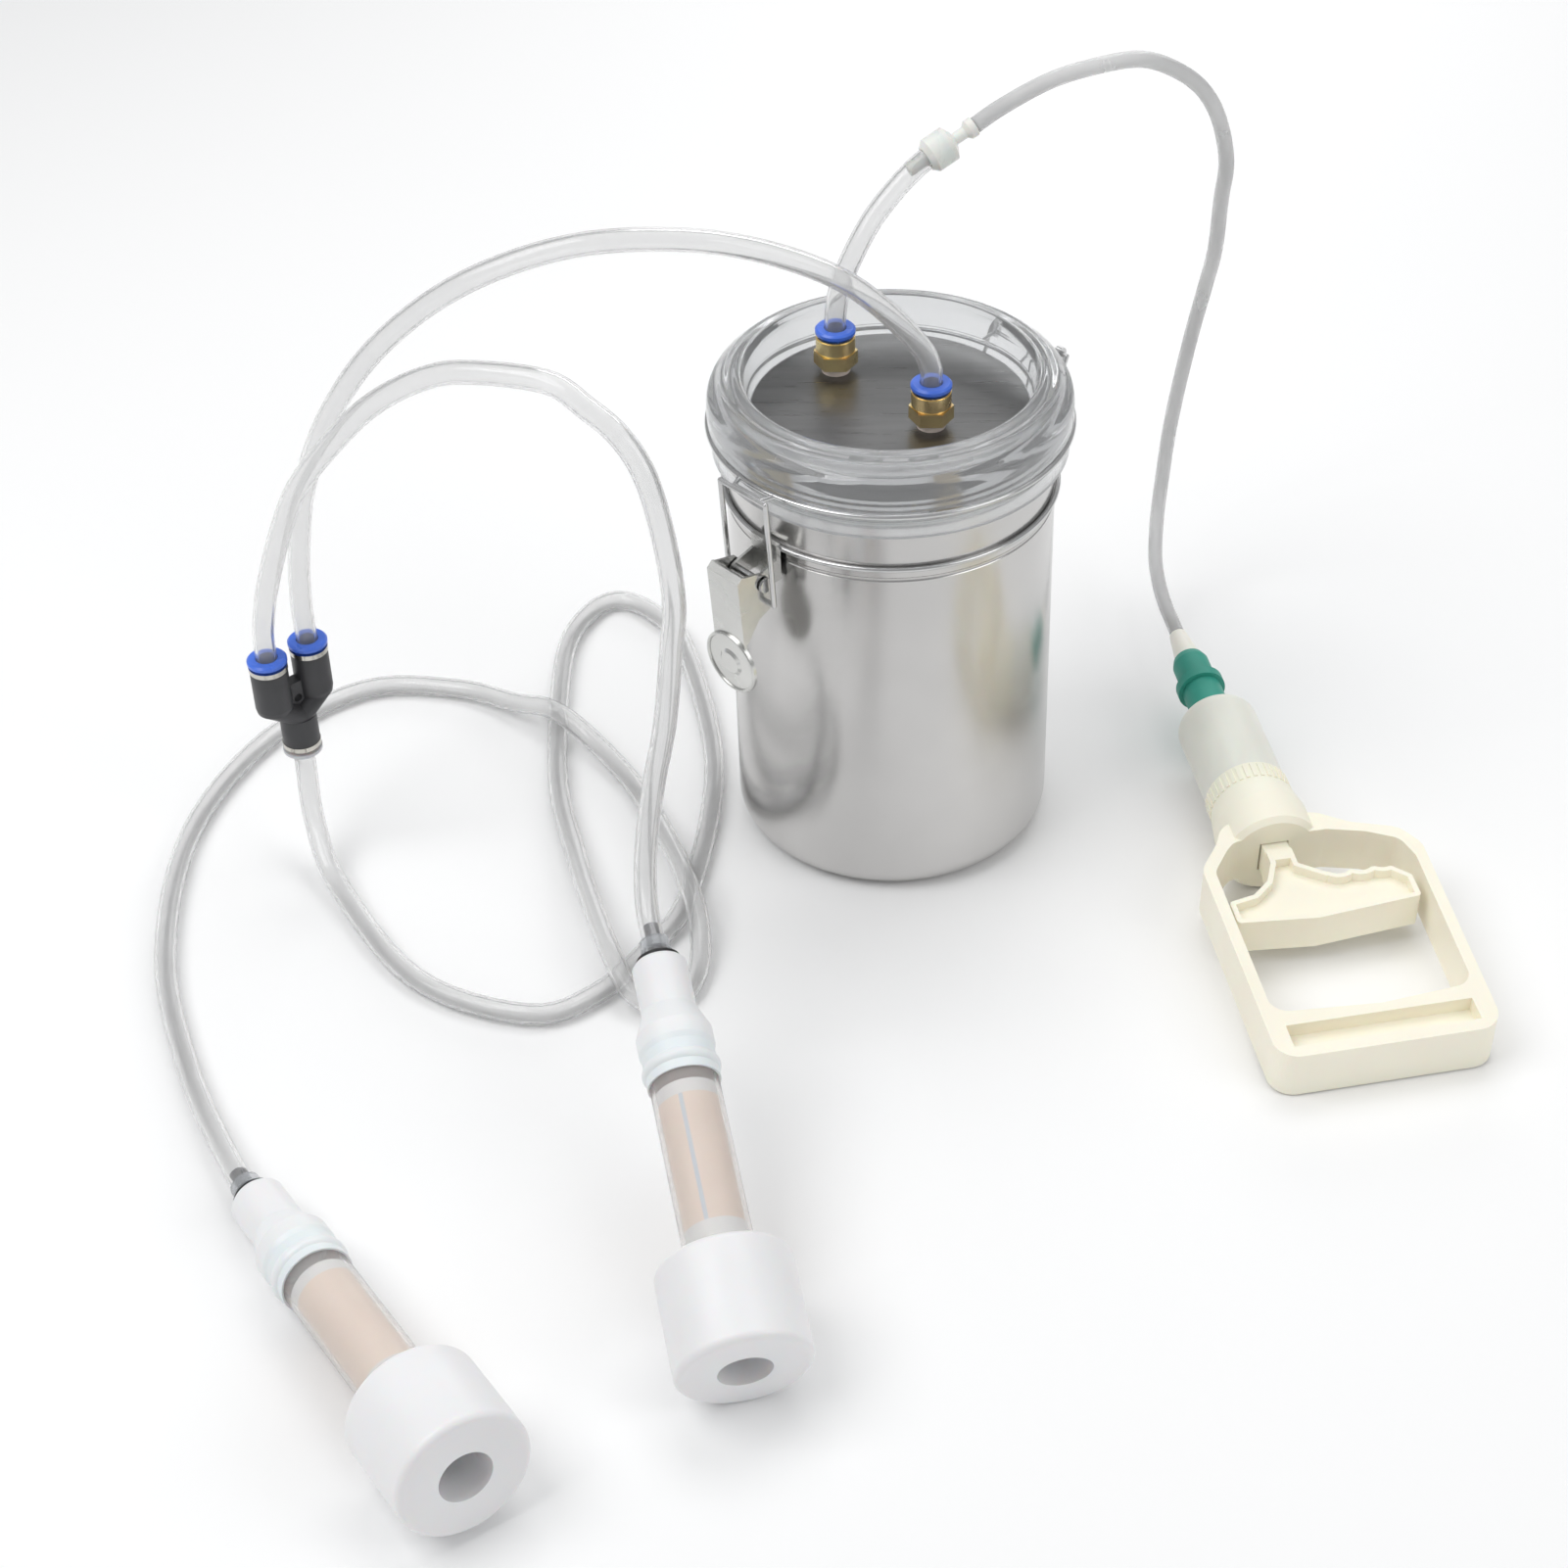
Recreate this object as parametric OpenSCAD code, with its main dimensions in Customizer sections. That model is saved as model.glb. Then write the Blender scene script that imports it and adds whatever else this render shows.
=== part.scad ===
/* [Canister] */
// Outer radius of the canister wall
can_r = 60; // [55:0.5:62]
// Height of the canister's rolled lip
can_h = 168; // [150:1:200]
// Thickness of the steel sheet
can_wall = 0.8; // [0.6:0.1:1.5]
// Radius of the bottom corner
can_corner = 10; // [4:0.5:14]
// Diameter of the closure wires
wire_d = 2; // [1.6:0.1:2.4]

/* [Lid] */
// Outer radius of the lid's rounded rim
rim_r = 66; // [64:0.5:70]
// Height of the rim above the canister's lip
rim_rise = 26; // [20:1:32]
// Radius of the rim's rounded top
rim_round = 12; // [6:0.5:12]
// Depth of the recess inside the rim
recess_depth = 15; // [8:0.5:16]
// Radius of the polished plate
plate_r = 50.2; // [46:0.2:51]
// Depth that the plug reaches below the canister's lip
plug_depth = 6; // [3:0.5:8]

/* [Hose fittings] */
// Outer diameter of the milk and vacuum hoses
hose_d = 8; // [8:0.1:8]
// Radius of a fitting's brass body
port_r = 7.2; // [6.8:0.1:7.6]
// Width across the flats of a fitting's hexagon
hex_flats = 14; // [13:0.5:15]
// Travel of a release collet
collet_travel = 1.2; // [0.8:0.1:1.5]

/* [Teat cups] */
// Length of a cup from its tail to its mouth
cup_len = 156; // [140:1:160]
// Outer radius of the mouthpiece
mouth_r = 22.5; // [20:0.5:24]
// Length of the mouthpiece
mouth_len = 38; // [32:1:42]
// Radius of the hole for the teat
teat_r = 9; // [8:0.25:10]
// Outer radius of the translucent shell tube
shell_r = 11.7; // [11:0.1:12]

/* [Hand pump] */
// Outer radius of the pump barrel
barrel_r = 16; // [15:0.5:17]
// Length of the frame from the collar to its far side
frame_len = 112; // [108:1:120]
// Height of the frame's strips
frame_h = 20; // [14:1:20]
// Stroke of the grip
stroke = 42; // [30:1:42]
// Outer diameter of the soft pump hose
pump_hose_d = 6; // [6:0.1:6]

/* [Hidden] */
$fn = 64;

wire_r = wire_d / 2;
// Clearance of a pin in its hole, and between parts that slide
pin_gap = 0.06;
slide_gap = 0.3;
// Angles round the canister at which the hinge and the latch stand
hinge_az = 45;
latch_az = 225;

// Heights up the canister and the lid
hoop_z = 149.5;
bead_z = 144.5;
gasket_z = can_h + 0.1;
gasket_h = 1.9;
lid_under = gasket_z + gasket_h;
rim_top = can_h + rim_rise;
floor_z = rim_top - recess_depth;
plate_t = 1;
groove_z = can_h + 6.5;
skirt_z = can_h - 3;
skirt_r = rim_r - 1.2;
skirt_inner = can_r + 2.2;
plug_r = can_r - 2.5;

// Hinge line and latch points as radius and height
hinge_at = [76, 174];
lever_at = [71, 140];
bail_at = [69.5, 131.5];
bail_top = [72, 175];
bail_half = 11.5;

// Places of the two lid fittings
vacuum_at = [-20, 24.5];
milk_at = [14.5, -13.5];
port_bore_r = hose_d / 2 + 0.2;
thread_r = 4.85;
tape_h = 3;
hex_z = floor_z + tape_h + 0.2;
body_top = floor_z + 14.6;
collet_z = body_top + collet_travel + 0.2;
collet_head = 1.9;
collet_r = 7.4;

// Y connector: its middle, its turn and the spacing of its upper ports
y_at = [-223.5, -28];
y_turn = 42.7;
y_half = 8.85;
y_top = 88.5;
y_bottom = 47.5;
y_fork = 63;

// Teat cups: middle of the mouth, heading and nose-down angle
front_cup_at = [-125, -355, 26.15];
front_cup_turn = -55.7;
front_cup_tilt = -6;
rear_cup_at = [-44, -311, 21.4];
rear_cup_turn = -76.68;
rear_cup_tilt = 14.06;

// Hand pump: end of the collar, heading and nose-up angle
pump_at = [143, -56, 18.6];
pump_turn = -78;
pump_tilt = 4;
collar_r = 18.4;
rod_r = 4.5;

// Check valve on the vacuum hose
valve_at = [18, 47, 256];
valve_dir = [14, 7, 7];

// Hose routes, from the fitting outwards
milk_route = [
    [14.5, -13.5, 186], [14.5, -13.5, 192], [14.5, -13.5, 198], [14.2, -13.6, 203], [10.5, -14.8, 212],
    [-3, -21, 231], [-19, -28, 247], [-42, -35, 260], [-67, -42, 268], [-98, -47, 269.5], [-126, -48, 262],
    [-152, -46, 247], [-176.5, -41, 223], [-195, -35, 194], [-207.5, -29, 163], [-214, -25, 133],
    [-217, -22, 108], [-217, -22, 90], [-217, -22, 74]
];
rear_route = [
    [-230, -34, 74], [-230, -34, 84], [-230, -34, 94], [-229.6, -34.7, 101], [-228, -37, 110],
    [-223.5, -41, 128], [-214, -47, 156], [-203, -54, 180.5], [-185.5, -62, 205], [-170, -69, 222.5],
    [-151.5, -77, 236.5], [-135, -84, 243], [-109, -95, 246], [-96, -102, 240.5], [-85.5, -107, 233],
    [-77.5, -112, 220.5], [-72.5, -116, 199], [-70.5, -117, 175], [-72.5, -117, 155], [-76, -118.5, 126],
    [-80.5, -120.5, 104], [-83.5, -127, 86], [-84.5, -135, 73], [-83.5, -144.5, 65],
    [-81.2, -154.3, 61.7], [-79.4, -161.8, 59.8]
];
front_route = [
    [-223.5, -28, 55.5], [-223.5, -28, 49], [-223.5, -28, 42.5], [-223.3, -29, 36], [-220.5, -40, 18],
    [-209, -64, 6], [-174, -113, 4.1], [-131, -132, 4.1], [-107, -121, 4.1], [-90, -97, 4.1],
    [-76.5, -65, 4.1], [-71, 12, 4.1], [-87, 90, 4.1], [-101, 115, 4.1], [-117, 126, 4.1],
    [-130, 116, 4.1], [-137.5, 84, 4.1], [-133, 6, 4.3], [-121, -46, 6.5], [-109, -88, 10.5],
    [-101, -112, 12.6], [-94, -125, 9], [-84, -128.5, 5], [-75, -121, 4.1], [-70.5, -106, 4.4],
    [-71.5, -87, 9], [-77.5, -66, 12.6], [-87, -36, 7.5], [-103, 1, 4.2], [-123, 27, 8], [-138, 38, 12.6],
    [-155, 50, 7], [-180, 63, 4.1], [-218, 62.5, 4.1], [-253, 28, 4.1], [-272, -30, 4.1],
    [-268, -101, 4.1], [-247, -163, 4.3], [-222, -212.8, 8], [-213.5, -225.2, 9.6]
];
vacuum_route = [
    [-20, 24.5, 186], [-20, 24.5, 192], [-20, 24.5, 198], [-19.7, 24.8, 203], [-18.3, 26.2, 211],
    [-14, 29, 222], [-7, 34, 234], [1, 38.5, 243.5], [8, 42, 250], [13, 44.5, 253.5]
];
pump_route = [
    [29.92, 52.96, 261.96], [40, 58, 267], [57, 62, 275], [75, 66, 279], [90, 72.5, 278], [103, 81, 270],
    [114, 90, 258], [122, 100, 241], [127, 110, 219], [127, 118, 199], [127, 126, 173], [125, 132, 154],
    [122, 139, 130], [119, 144, 105], [116, 147, 78], [114, 145, 56], [112, 137, 40],
    [110.5, 120, 31.5], [111, 102, 29.6], [112.8, 87, 28.8], [114.7, 77.5, 28.2], [116.5, 68.8, 27.6]
];

// Round tube swept along a route of points, with rings of n corners
function unit(v) = v / norm(v);
function spline(p, i, t) =
    let (a = p[max(i - 1, 0)], b = p[i], c = p[i + 1], d = p[min(i + 2, len(p) - 1)])
    0.5 * (2 * b + (c - a) * t + (2 * a - 5 * b + 4 * c - d) * t * t + (3 * b - a - 3 * c + d) * t * t * t);
function smooth(p, per) = [
    for (i = [0:len(p) - 2]) for (k = [0:per - 1]) spline(p, i, k / per),
    p[len(p) - 1]
];
function heading(p, i) = unit(p[min(i + 1, len(p) - 1)] - p[max(i - 1, 0)]);
function carried(n, d) = unit(n - d * (n * d));
function normals(p, i, n) =
    i >= len(p) ? [] : let (m = carried(n, heading(p, i))) concat([m], normals(p, i + 1, m));
function start_normal(d) = carried(abs(d.z) > 0.7 ? [1, 0, 0] : [0, 0, 1], d);
module tube_along(route, radius, sides, per) {
    p = smooth(route, per);
    nn = normals(p, 0, start_normal(heading(p, 0)));
    rings = [
        for (i = [0:len(p) - 1]) for (s = [0:sides - 1])
            let (d = heading(p, i), a = 360 * s / sides)
            p[i] + radius * (nn[i] * cos(a) + cross(d, nn[i]) * sin(a))
    ];
    sides_faces = [
        for (i = [0:len(p) - 2]) for (s = [0:sides - 1])
            let (a = i * sides + s, b = i * sides + (s + 1) % sides)
            each [[a, b, b + sides], [a, b + sides, a + sides]]
    ];
    last = (len(p) - 1) * sides;
    ends = [[for (s = [sides - 1:-1:0]) s], [for (s = [0:sides - 1]) last + s]];
    all_faces = concat(sides_faces, ends);
    polyhedron(rings, [for (f = all_faces) [for (k = [len(f) - 1:-1:0]) f[k]]], convexity = 10);
}

// Places
module at_azimuth(az) {
    rotate([0, 0, az]) children();
}
// Draws an outline of radius and height, and gives it a width across the radius
module side_plate(from, width) {
    translate([0, from + width, 0]) rotate([90, 0, 0]) linear_extrude(width) children();
}
// Straight round bar along the tangent at a radius and a height
module tangent_bar(at, radius, from, length) {
    translate([at.x, from, at.y]) rotate([-90, 0, 0]) cylinder(r = radius, h = length);
}
// Straight round wire between two points, with a ball at its far end
module wire(a, b, radius) {
    d = b - a;
    translate(a) rotate([0, acos(d.z / norm(d)), atan2(d.y, d.x)])
        cylinder(r = radius, h = norm(d), $fn = 24);
    translate(b) sphere(r = radius, $fn = 24);
}
module along(at, dir) {
    translate(at) rotate([0, acos(dir.z / norm(dir)), atan2(dir.y, dir.x)]) children();
}
module tube(r_out, r_in, from, to) {
    translate([0, 0, from]) difference() {
        cylinder(r = r_out, h = to - from);
        translate([0, 0, -1]) cylinder(r = r_in, h = to - from + 2);
    }
}
module ring_wire(radius, z, r) {
    translate([0, 0, z]) rotate_extrude($fn = 96) translate([radius, 0]) circle(r = r, $fn = 24);
}

// Canister
module can_outline(r, h, corner) {
    intersection() {
        union() {
            translate([0, corner]) square([r, h - corner]);
            square([r - corner, h]);
            translate([r - corner, corner]) circle(r = corner);
        }
        square([r, h]);
    }
}
module canister_shell() {
    lip = 0.9;
    color("silver") rotate_extrude($fn = 96) {
        difference() {
            can_outline(can_r, can_h - lip, can_corner);
            translate([0, can_wall]) can_outline(can_r - can_wall, can_h, can_corner - can_wall);
            translate([can_r + 0.9, bead_z]) circle(r = 1.3);
        }
        difference() {
            translate([can_r - can_wall - 0.9, bead_z - 0.9]) square([0.95, 1.8]);
            translate([can_r - can_wall - 1.6, bead_z - 2.2]) rotate(45) square([1.6, 0.9]);
        }
        translate([can_r - lip, can_h - lip]) circle(r = lip);
    }
}
module neck_hoop() {
    color("gainsboro") ring_wire(can_r + wire_r + 0.05, hoop_z, wire_r);
}

// Hinge: a bent wire on the canister carries the pin
module hinge_wire() {
    half = 16;
    foot_r = can_r + wire_r + 1.95;
    foot = [sqrt(foot_r * foot_r - half * half), hoop_z + 0.6];
    knee = [can_r + 9, hoop_z + 9];
    color("gainsboro") at_azimuth(hinge_az) {
        tangent_bar(hinge_at, wire_r, -half, 2 * half);
        for (side = [-1, 1]) {
            translate([hinge_at.x, side * half, hinge_at.y]) sphere(r = wire_r, $fn = 24);
            wire([hinge_at.x, side * half, hinge_at.y], [knee.x, side * half, knee.y], wire_r);
            wire([knee.x, side * half, knee.y], [foot.x, side * half, foot.y], wire_r);
        }
    }
}

// Latch on the canister
module latch_bracket() {
    ear_in = 5.5;
    ear_t = 1;
    strap_x = can_r + 1.2;
    color("gainsboro") at_azimuth(latch_az) difference() {
        union() {
            for (side = [-1, 1]) side_plate(side * (ear_in + ear_t / 2) - ear_t / 2, ear_t) hull() {
                translate([strap_x, 136.5]) square([2, 9]);
                translate(lever_at) circle(r = 3.2, $fn = 32);
            }
            side_plate(-ear_in - ear_t, 2 * (ear_in + ear_t)) translate([strap_x, 136.5]) square([2, 15]);
        }
        tangent_bar(lever_at, 1.5 + pin_gap, -10, 20);
        rotate([0, 0, -latch_az]) ring_wire(can_r + wire_r + 0.05, hoop_z, wire_r + 0.02);
        rotate([0, 0, -latch_az]) translate([0, 0, bead_z - 2]) cylinder(r = can_r + 0.6, h = 4);
    }
}
module lever_pin() {
    head_at = 8.6;
    color("gainsboro") at_azimuth(latch_az) {
        tangent_bar(lever_at, 1.5, -head_at, 2 * head_at);
        tangent_bar(lever_at, 2.8, head_at, 1);
        tangent_bar(lever_at, 2.8, -head_at - 1, 1);
    }
}
module latch_lever() {
    side_in = 7;
    side_t = 1;
    pad_r = 12.5;
    half = side_in + side_t;
    color("silver") at_azimuth(latch_az) difference() {
        union() {
            for (side = [-1, 1]) side_plate(side * (side_in + side_t / 2) - side_t / 2, side_t)
                polygon([[67.5, 128.5], [67.5, 141], [70.5, 144.5], [81, 147], [83, 145], [81, 119],
                    [79.4, 118], [73.5, 126]]);
            side_plate(-half, 2 * half)
                polygon([[80, 147.1], [81, 147.2], [83.2, 145.2], [80.9, 113], [79.7, 113], [81.9, 144.6]]);
            translate([80.3, 0, 107]) rotate([0, -86, 0]) {
                translate([0, 0, -0.6]) cylinder(r = pad_r, h = 1.2);
                translate([0, 0, -0.6]) rotate_extrude()
                    translate([pad_r - 0.7, 0]) circle(r = 0.7, $fn = 24);
                translate([0, 0, -1.4]) cylinder(r1 = 4.2, r2 = 6.2, h = 1.2);
            }
        }
        tangent_bar(lever_at, 1.5 + pin_gap, -10, 20);
        tangent_bar(bail_at, wire_r + pin_gap, -10, 20);
    }
}
module bail_wire() {
    stop = 6.8;
    color("gainsboro") at_azimuth(latch_az) {
        for (side = [-1, 1]) {
            tangent_bar(bail_at, wire_r, side < 0 ? -bail_half : stop, bail_half - stop);
            foot = [bail_at.x, side * bail_half, bail_at.y];
            translate(foot) sphere(r = wire_r, $fn = 24);
            wire(foot, [bail_top.x, side * bail_half, bail_top.y], wire_r);
        }
        tangent_bar(bail_top, wire_r, -bail_half, 2 * bail_half);
    }
}

// Lid
module port_holes(r) {
    for (at = [vacuum_at, milk_at]) translate([at.x, at.y, lid_under - 20]) cylinder(r = r, h = 60);
}
module lid_shell() {
    deck_z = floor_z - plate_t - 0.05;
    color("lightgray", 0.5) difference() {
        rotate_extrude($fn = 96) difference() {
            union() {
                intersection() {
                    union() {
                        translate([rim_r - rim_round, rim_top - rim_round]) circle(r = rim_round);
                        translate([0, lid_under]) square([rim_r, rim_top - rim_round - lid_under]);
                        square([rim_r - rim_round, rim_top]);
                    }
                    translate([0, lid_under]) square([rim_r, rim_top]);
                }
                translate([skirt_inner, skirt_z]) square([skirt_r - skirt_inner, lid_under - skirt_z + 1]);
                translate([0, can_h - plug_depth]) square([plug_r, lid_under - can_h + plug_depth + 1]);
            }
            translate([0, deck_z]) square([plate_r + 0.1, 40]);
            polygon([[plate_r, floor_z], [plate_r + 0.4, floor_z], [plate_r + 2.2, rim_top - 2],
                [plate_r + 3.6, rim_top + 1], [plate_r, rim_top + 1]]);
            translate([0, can_h - plug_depth - 1]) square([plug_r - 4, lid_under - can_h + plug_depth + 1]);
            translate([rim_r + 0.6, groove_z]) circle(r = 2);
            translate([skirt_r, 0]) square([5, groove_z]);
        }
        port_holes(5.05);
    }
}
module lid_gasket() {
    color("whitesmoke") tube(can_r + 0.6, plug_r + 0.05, gasket_z, gasket_z + gasket_h);
}
module lid_plate() {
    color("dimgray") difference() {
        translate([0, 0, floor_z - plate_t]) cylinder(r = plate_r, h = plate_t);
        port_holes(5.05);
    }
}
module lid_hoop() {
    color("gainsboro") ring_wire(rim_r - 0.2, groove_z, wire_r);
}
// Eyes on the lid's hoop that turn on the hinge pin
module lid_eyes() {
    eye_half = 12.5;
    color("gainsboro") at_azimuth(hinge_az) for (side = [-1, 1]) difference() {
        union() {
            tangent_bar(hinge_at, 2.5, side * eye_half - 1.2, 2.4);
            translate([rim_r - 1.5, side * eye_half, groove_z]) rotate([0, 92.8, 0])
                cylinder(r = wire_r - 0.1, h = hinge_at.x - rim_r - 0.2);
        }
        tangent_bar(hinge_at, wire_r + pin_gap, side * eye_half - 3, 6);
    }
}
// Hook on the lid's hoop that the bail reaches
module lid_hook() {
    hook_half = 9;
    arm_r = wire_r - 0.1;
    hook_r = bail_top.x - 2 * wire_r - 0.4;
    hook_z = groove_z - 0.6;
    root_r = rim_r - 0.5;
    root_x = sqrt(root_r * root_r - hook_half * hook_half);
    color("gainsboro") at_azimuth(latch_az) {
        tangent_bar([hook_r, hook_z], arm_r, -hook_half + 2, 2 * hook_half - 4);
        for (side = [-1, 1])
            wire([root_x, side * hook_half, groove_z], [hook_r, side * (hook_half - 2), hook_z], arm_r);
    }
}

// Push-in fittings in the lid
module hexagon(flats, h) {
    cylinder(r = flats / sqrt(3), h = h, $fn = 6);
}
module port_body(at) {
    thread_z = lid_under - 8;
    color("darkgoldenrod") translate([at.x, at.y, 0]) difference() {
        union() {
            translate([0, 0, thread_z]) cylinder(r = thread_r, h = hex_z - thread_z + 1);
            translate([0, 0, hex_z]) hexagon(hex_flats, 5.2);
            translate([0, 0, hex_z + 5.2]) cylinder(r = port_r - 0.7, h = 0.8);
            translate([0, 0, hex_z + 6]) cylinder(r = port_r, h = body_top - hex_z - 6.4);
            translate([0, 0, body_top - 0.4]) cylinder(r = port_r - 0.3, h = 0.4);
        }
        translate([0, 0, thread_z - 1]) cylinder(r = 3, h = 30);
        translate([0, 0, floor_z + 6]) cylinder(r = port_bore_r, h = 20);
        translate([0, 0, floor_z + 8]) cylinder(r = 5.2, h = 20);
        translate([0, 0, body_top - 4.8]) cylinder(r = 5.8, h = 10);
    }
}
module port_tape() {
    color("antiquewhite") for (at = [vacuum_at, milk_at]) translate([at.x, at.y, 0])
        tube(thread_r + 0.45, thread_r + 0.02, floor_z + 0.1, floor_z + tape_h);
}
module port_nuts() {
    color("goldenrod") for (at = [vacuum_at, milk_at]) translate([at.x, at.y, lid_under - 4.9])
        difference() {
            hexagon(hex_flats, 4);
            translate([0, 0, -1]) cylinder(r = thread_r + 0.03, h = 10);
        }
}
module seal_ring(z) {
    translate([0, 0, z]) rotate_extrude() translate([4.62, 0]) circle(r = 0.52, $fn = 24);
}
module port_seals() {
    color("black") for (at = [vacuum_at, milk_at]) translate([at.x, at.y, 0]) seal_ring(floor_z + 8.6);
}
module port_grippers() {
    color("silver") for (at = [vacuum_at, milk_at]) translate([at.x, at.y, 0])
        tube(5.15, 4.15, floor_z + 9.4, floor_z + 9.7);
}
// Release collet with its head up, its sleeve reaching into the socket
module collet(tint) {
    color(tint) {
        difference() {
            union() {
                translate([0, 0, 0]) cylinder(r = collet_r, h = 1.2);
                translate([0, 0, 1.2]) cylinder(r1 = collet_r, r2 = collet_r - 0.7, h = collet_head - 1.2);
                translate([0, 0, -4.2]) cylinder(r = 5.3, h = 4.3);
            }
            translate([0, 0, -10]) cylinder(r = hose_d / 2 + 0.15, h = 20);
        }
    }
}

// Check valve between the vacuum hose and the pump hose
module valve_body() {
    color("whitesmoke", 0.8) along(valve_at, valve_dir) difference() {
        union() {
            translate([0, 0, -4.5]) cylinder(r = 6.5, h = 6);
            translate([0, 0, -6.5]) cylinder(r1 = 4.6, r2 = 6.5, h = 2);
            translate([0, 0, -14]) cylinder(r = 2.3, h = 8);
        }
        translate([0, 0, -15]) cylinder(r = 1.3, h = 12);
        translate([0, 0, -3.4]) cylinder(r = 5.3, h = 10);
    }
}
module valve_cap() {
    color("white", 0.8) along(valve_at, valve_dir) difference() {
        union() {
            translate([0, 0, 1.5]) cylinder(r = 6.5, h = 2);
            translate([0, 0, 3.5]) cylinder(r1 = 6.5, r2 = 3.4, h = 1.8);
            translate([0, 0, 5]) cylinder(r = 2.2, h = 6);
            translate([0, 0, 10.2]) cylinder(r1 = 2.2, r2 = 3.6, h = 1.6);
            translate([0, 0, 11.8]) cylinder(r = 3.6, h = 2.5);
            translate([0, 0, 0]) cylinder(r = 5.25, h = 1.6);
        }
        translate([0, 0, -1]) cylinder(r = 1, h = 18);
        translate([0, 0, -1]) cylinder(r = 4.2, h = 2);
    }
}
module valve_disc() {
    color("white") along(valve_at, valve_dir) translate([0, 0, -3.2]) cylinder(r = 4.6, h = 1);
}

// Y connector
module y_place() {
    translate([y_at.x, y_at.y, 0]) rotate([0, 0, y_turn]) children();
}
module y_ports() {
    for (side = [-1, 1]) translate([side * y_half, 0, 0]) children();
}
module y_body() {
    color("dimgray") y_place() difference() {
        union() {
            y_ports() translate([0, 0, 70]) cylinder(r = 7, h = y_top - 70 - 2);
            translate([0, 0, y_bottom + 2]) cylinder(r = 7, h = 12);
            y_ports() translate([0, 0, y_fork + 5]) cylinder(r1 = 6.6, r2 = 7, h = 2.1);
            for (side = [-1, 1]) hull() {
                translate([side * y_half, 0, y_fork + 5]) cylinder(r = 6.6, h = 0.5, $fn = 32);
                translate([0, 0, y_fork - 2]) cylinder(r = 6.6, h = 1.5, $fn = 32);
            }
            translate([-y_half, -2.5, y_fork + 2]) cube([2 * y_half, 5, 12]);
        }
        y_ports() translate([0, 0, y_fork + 8]) cylinder(r = port_bore_r, h = 30);
        y_ports() translate([0, 0, y_top - 6.5]) cylinder(r = 5.8, h = 30);
        for (side = [-1, 1]) translate([0, 0, y_fork - 4]) rotate([0, side * 38.6, 0])
            cylinder(r = 3, h = 15.2);
        translate([0, 0, y_bottom - 5]) cylinder(r = port_bore_r, h = 14.4);
        translate([0, 0, y_bottom - 5]) cylinder(r = 5.8, h = 11.5);
        translate([0, 0, y_bottom + 4]) cylinder(r = 3, h = 8);
        translate([0, 10, 70]) rotate([90, 0, 0]) cylinder(r = 1.7, h = 20);
    }
}
module y_sleeves() {
    color("silver") y_place() {
        y_ports() tube(7.2, 5.85, y_top - 1.95, y_top);
        tube(7.2, 5.85, y_bottom, y_bottom + 1.95);
    }
}
module y_seals() {
    color("black") y_place() {
        y_ports() tube(5.75, 4.1, y_top - 6.4, y_top - 5.2);
        tube(5.75, 4.1, y_bottom + 5.2, y_bottom + 6.4);
    }
}
module y_collet_left() {
    y_place() translate([-y_half, 0, y_top + collet_travel + 0.2]) collet("royalblue");
}
module y_collet_right() {
    y_place() translate([y_half, 0, y_top + collet_travel + 0.2]) collet("royalblue");
}
module y_collet_bottom() {
    y_place() translate([0, 0, y_bottom - collet_travel - 0.2]) mirror([0, 0, 1]) collet("gainsboro");
}

// Teat cups, drawn along x with the mouth at the origin and the tail behind it
module cup_place(at, turn, tilt) {
    translate(at) rotate([0, 0, turn]) rotate([0, tilt, 0]) rotate([0, 90, 0]) children();
}
module cup_mouthpiece() {
    bevel = 2.5;
    color("white") difference() {
        union() {
            translate([0, 0, -mouth_len + bevel]) cylinder(r = mouth_r, h = mouth_len - 2 * bevel);
            rotate_extrude() translate([mouth_r - bevel, -bevel]) circle(r = bevel, $fn = 32);
            rotate_extrude() translate([mouth_r - bevel, -mouth_len + bevel]) circle(r = bevel, $fn = 32);
            translate([0, 0, -mouth_len]) cylinder(r = mouth_r - bevel, h = mouth_len);
        }
        translate([0, 0, -mouth_len - 1]) cylinder(r = teat_r, h = mouth_len + 2);
        translate([0, 0, -mouth_len - 1]) cylinder(r = shell_r + 0.02, h = 15);
    }
}
module cup_shell() {
    color("white", 0.6) tube(shell_r, shell_r - 1.5, -cup_len + 36, -mouth_len + 13.9);
}
module cup_liner() {
    color("bisque") tube(shell_r - 1.55, shell_r - 3.2, -cup_len + 54, -mouth_len - 2);
}
module cup_sleeve() {
    tail = -cup_len + 2;
    color("white") difference() {
        union() {
            translate([0, 0, tail]) cylinder(r1 = 8.6, r2 = 9.5, h = 1.2);
            translate([0, 0, tail + 1.2]) cylinder(r = 9.5, h = 18.8);
            translate([0, 0, tail + 20]) cylinder(r1 = 9.5, r2 = 13, h = 9);
            translate([0, 0, tail + 29]) cylinder(r = 13, h = 6);
            translate([0, 0, tail + 35]) cylinder(r1 = 13, r2 = 12.4, h = 2);
            translate([0, 0, tail + 37]) cylinder(r = 12.4, h = 11.5);
            translate([0, 0, tail + 43]) rotate_extrude() translate([10.6, 0]) circle(r = 2.8, $fn = 32);
        }
        translate([0, 0, tail + 34]) cylinder(r = shell_r + 0.02, h = 40);
        translate([0, 0, tail + 22]) cylinder(r = 8.5, h = 20);
        translate([0, 0, tail - 1]) cylinder(r = 3.22, h = 40);
    }
}
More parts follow.
